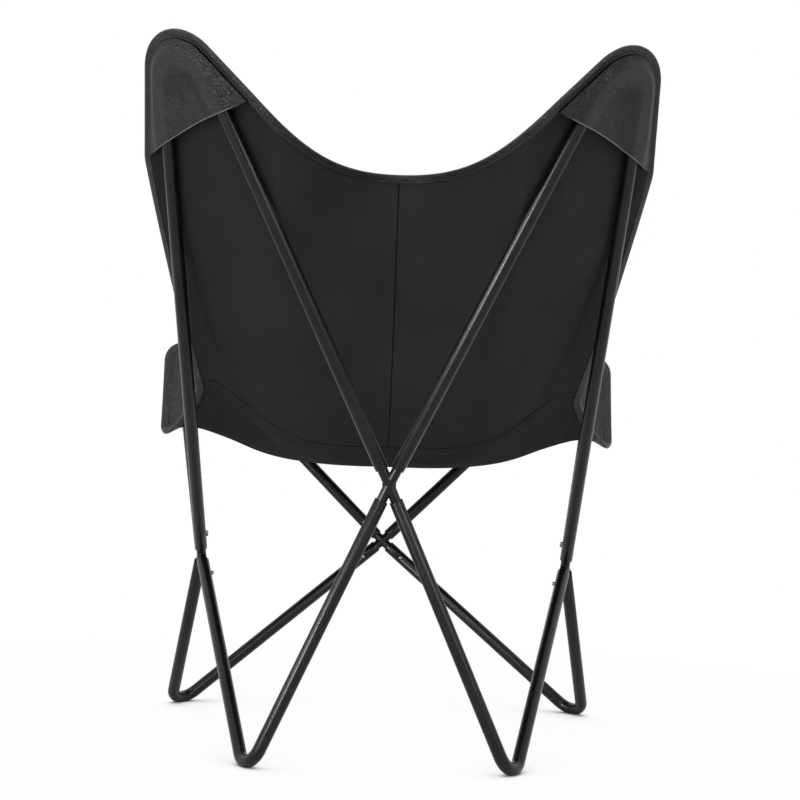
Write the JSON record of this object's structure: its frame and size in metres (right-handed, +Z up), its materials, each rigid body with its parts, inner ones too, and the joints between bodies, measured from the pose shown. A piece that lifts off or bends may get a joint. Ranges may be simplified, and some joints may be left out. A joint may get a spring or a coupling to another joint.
{
  "type": "butterfly sling chair",
  "caption": "Low lounge chair: a knock-down frame of bent steel tube on crossed sprung connectors, carrying a hung leather and fabric sling by its corner pockets.",
  "frame": {"origin": "on the floor, in the middle of the footprint", "axes": "+Z up, the sitter faces -Y and +X is the sitter's left"},
  "size_m": [0.6366, 0.7998, 0.85],
  "materials": {
    "powder_coat": "satin near-black powder coat",
    "plated_steel": "plated spring steel",
    "lining": "matt black woven lining",
    "leather": "semi-gloss dark brown-black grain"
  },
  "bodies": {
    "chair": {"back_left_hoop": "powder_coat", "back_left_leg": "powder_coat", "front_left_hoop": "powder_coat", "front_left_leg": "powder_coat", "back_right_hoop": "powder_coat", "back_right_leg": "powder_coat", "front_right_hoop": "powder_coat", "front_right_leg": "powder_coat", "back_cross": "powder_coat", "front_cross": "powder_coat", "left_cross": "powder_coat", "right_cross": "powder_coat", "back_left_hoop_inner_spring": "plated_steel", "back_left_hoop_outer_spring": "plated_steel", "back_left_leg_inner_spring": "plated_steel", "back_left_leg_outer_spring": "plated_steel", "front_left_hoop_inner_spring": "plated_steel", "front_left_hoop_outer_spring": "plated_steel", "front_left_leg_inner_spring": "plated_steel", "front_left_leg_outer_spring": "plated_steel", "back_right_hoop_inner_spring": "plated_steel", "back_right_hoop_outer_spring": "plated_steel", "back_right_leg_inner_spring": "plated_steel", "back_right_leg_outer_spring": "plated_steel", "front_right_hoop_inner_spring": "plated_steel", "front_right_hoop_outer_spring": "plated_steel", "front_right_leg_inner_spring": "plated_steel", "front_right_leg_outer_spring": "plated_steel", "back_panel_left": "lining", "back_panel_right": "lining", "seat_panel": "lining", "edge_binding": "leather", "back_left_pocket": "leather", "back_right_pocket": "leather", "front_left_pocket": "leather", "front_right_pocket": "leather"},
    "back_left_hoop_inner_button": {"back_left_hoop_inner_button": "plated_steel"},
    "back_left_hoop_outer_button": {"back_left_hoop_outer_button": "plated_steel"},
    "back_left_leg_inner_button": {"back_left_leg_inner_button": "plated_steel"},
    "back_left_leg_outer_button": {"back_left_leg_outer_button": "plated_steel"},
    "front_left_hoop_inner_button": {"front_left_hoop_inner_button": "plated_steel"},
    "front_left_hoop_outer_button": {"front_left_hoop_outer_button": "plated_steel"},
    "front_left_leg_inner_button": {"front_left_leg_inner_button": "plated_steel"},
    "front_left_leg_outer_button": {"front_left_leg_outer_button": "plated_steel"},
    "back_right_hoop_inner_button": {"back_right_hoop_inner_button": "plated_steel"},
    "back_right_hoop_outer_button": {"back_right_hoop_outer_button": "plated_steel"},
    "back_right_leg_inner_button": {"back_right_leg_inner_button": "plated_steel"},
    "back_right_leg_outer_button": {"back_right_leg_outer_button": "plated_steel"},
    "front_right_hoop_inner_button": {"front_right_hoop_inner_button": "plated_steel"},
    "front_right_hoop_outer_button": {"front_right_hoop_outer_button": "plated_steel"},
    "front_right_leg_inner_button": {"front_right_leg_inner_button": "plated_steel"},
    "front_right_leg_outer_button": {"front_right_leg_outer_button": "plated_steel"}
  },
  "joints": [
    {"name": "back_left_hoop_inner_press", "type": "slide", "parent": "chair", "child": "back_left_hoop_inner_button", "axis": [-0.0745, 0.9851, -0.1551], "range_m": [0, 0.0048], "stiffness_N_per_m": 1500, "deforming": ["back_left_hoop_inner_spring"]},
    {"name": "back_left_hoop_outer_press", "type": "slide", "parent": "chair", "child": "back_left_hoop_outer_button", "axis": [0.9987, -0.0275, -0.0436], "range_m": [0, 0.0048], "stiffness_N_per_m": 1500, "deforming": ["back_left_hoop_outer_spring"]},
    {"name": "back_left_leg_inner_press", "type": "slide", "parent": "chair", "child": "back_left_leg_inner_button", "axis": [0.0365, 0.996, -0.0818], "range_m": [0, 0.0048], "stiffness_N_per_m": 1500, "deforming": ["back_left_leg_inner_spring"]},
    {"name": "back_left_leg_outer_press", "type": "slide", "parent": "chair", "child": "back_left_leg_outer_button", "axis": [0.9781, 0.1627, -0.1299], "range_m": [0, 0.0048], "stiffness_N_per_m": 1500, "deforming": ["back_left_leg_outer_spring"]},
    {"name": "front_left_hoop_inner_press", "type": "slide", "parent": "chair", "child": "front_left_hoop_inner_button", "axis": [-0.1363, -0.9818, -0.1325], "range_m": [0, 0.0048], "stiffness_N_per_m": 1500, "deforming": ["front_left_hoop_inner_spring"]},
    {"name": "front_left_hoop_outer_press", "type": "slide", "parent": "chair", "child": "front_left_hoop_outer_button", "axis": [0.9884, 0.1122, -0.1023], "range_m": [0, 0.0048], "stiffness_N_per_m": 1500, "deforming": ["front_left_hoop_outer_spring"]},
    {"name": "front_left_leg_inner_press", "type": "slide", "parent": "chair", "child": "front_left_leg_inner_button", "axis": [0.1016, -0.9912, -0.0854], "range_m": [0, 0.0048], "stiffness_N_per_m": 1500, "deforming": ["front_left_leg_inner_spring"]},
    {"name": "front_left_leg_outer_press", "type": "slide", "parent": "chair", "child": "front_left_leg_outer_button", "axis": [0.9862, 0.1061, 0.1272], "range_m": [0, 0.0048], "stiffness_N_per_m": 1500, "deforming": ["front_left_leg_outer_spring"]},
    {"name": "back_right_hoop_inner_press", "type": "slide", "parent": "chair", "child": "back_right_hoop_inner_button", "axis": [0.0745, 0.9851, -0.1551], "range_m": [0, 0.0048], "stiffness_N_per_m": 1500, "deforming": ["back_right_hoop_inner_spring"]},
    {"name": "back_right_hoop_outer_press", "type": "slide", "parent": "chair", "child": "back_right_hoop_outer_button", "axis": [-0.9987, -0.0275, -0.0436], "range_m": [0, 0.0048], "stiffness_N_per_m": 1500, "deforming": ["back_right_hoop_outer_spring"]},
    {"name": "back_right_leg_inner_press", "type": "slide", "parent": "chair", "child": "back_right_leg_inner_button", "axis": [-0.0365, 0.996, -0.0818], "range_m": [0, 0.0048], "stiffness_N_per_m": 1500, "deforming": ["back_right_leg_inner_spring"]},
    {"name": "back_right_leg_outer_press", "type": "slide", "parent": "chair", "child": "back_right_leg_outer_button", "axis": [-0.9781, 0.1627, -0.1299], "range_m": [0, 0.0048], "stiffness_N_per_m": 1500, "deforming": ["back_right_leg_outer_spring"]},
    {"name": "front_right_hoop_inner_press", "type": "slide", "parent": "chair", "child": "front_right_hoop_inner_button", "axis": [0.1363, -0.9818, -0.1325], "range_m": [0, 0.0048], "stiffness_N_per_m": 1500, "deforming": ["front_right_hoop_inner_spring"]},
    {"name": "front_right_hoop_outer_press", "type": "slide", "parent": "chair", "child": "front_right_hoop_outer_button", "axis": [-0.9884, 0.1122, -0.1023], "range_m": [0, 0.0048], "stiffness_N_per_m": 1500, "deforming": ["front_right_hoop_outer_spring"]},
    {"name": "front_right_leg_inner_press", "type": "slide", "parent": "chair", "child": "front_right_leg_inner_button", "axis": [-0.1016, -0.9912, -0.0854], "range_m": [0, 0.0048], "stiffness_N_per_m": 1500, "deforming": ["front_right_leg_inner_spring"]},
    {"name": "front_right_leg_outer_press", "type": "slide", "parent": "chair", "child": "front_right_leg_outer_button", "axis": [-0.9862, 0.1061, 0.1272], "range_m": [0, 0.0048], "stiffness_N_per_m": 1500, "deforming": ["front_right_leg_outer_spring"]}
  ]
}
